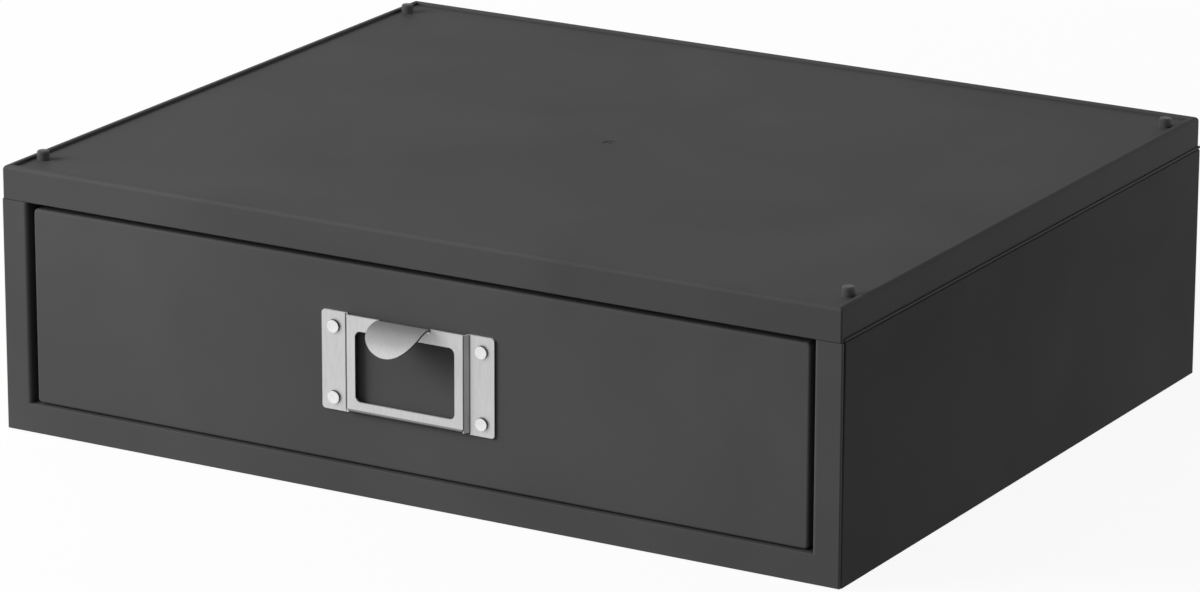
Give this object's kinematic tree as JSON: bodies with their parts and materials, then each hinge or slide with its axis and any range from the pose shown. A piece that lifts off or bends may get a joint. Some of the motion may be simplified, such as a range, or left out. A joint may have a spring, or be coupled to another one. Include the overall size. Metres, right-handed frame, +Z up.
{
  "type": "desktop file drawer",
  "caption": "Low stackable desktop case with a full-width sliding file drawer and a riveted steel label holder with a curled finger tab.",
  "frame": {"origin": "on the desk plane, at the middle of the case's footprint", "axes": "+X to the right as seen from the front, +Y to the back, +Z up; the drawer opens towards -Y"},
  "size_m": [0.34, 0.2941, 0.1013],
  "materials": {
    "charcoal_plastic": "fine moulded satin",
    "peg_plastic": "moulded satin",
    "runner_plastic": "smooth moulded",
    "glide_nylon": "natural nylon",
    "black_rubber": "matt",
    "satin_steel": "satin pressed sheet",
    "rivet_aluminium": "smooth",
    "zinc_plated_steel": "bright zinc"
  },
  "bodies": {
    "case": {"top_panel": "charcoal_plastic", "stacking_pegs": "peg_plastic", "front_frame": "charcoal_plastic", "left_side_panel": "charcoal_plastic", "right_side_panel": "charcoal_plastic", "back_panel": "charcoal_plastic", "base_panel": "charcoal_plastic", "foot_pads": "black_rubber", "rear_bumpers": "black_rubber", "left_runner": "runner_plastic", "right_runner": "runner_plastic", "lid_screws": "zinc_plated_steel", "base_end_screws": "zinc_plated_steel", "base_side_screws": "zinc_plated_steel", "runner_screws": "zinc_plated_steel"},
    "drawer": {"drawer_front": "charcoal_plastic", "drawer_tray": "charcoal_plastic", "left_glide": "glide_nylon", "right_glide": "glide_nylon", "label_holder": "satin_steel", "holder_rivets": "rivet_aluminium", "rivet_washers": "zinc_plated_steel", "front_screws": "zinc_plated_steel"}
  },
  "joints": [
    {"name": "drawer_slide", "type": "slide", "parent": "case", "child": "drawer", "axis": [0, -1, 0], "range_m": [0, 0.198]}
  ]
}
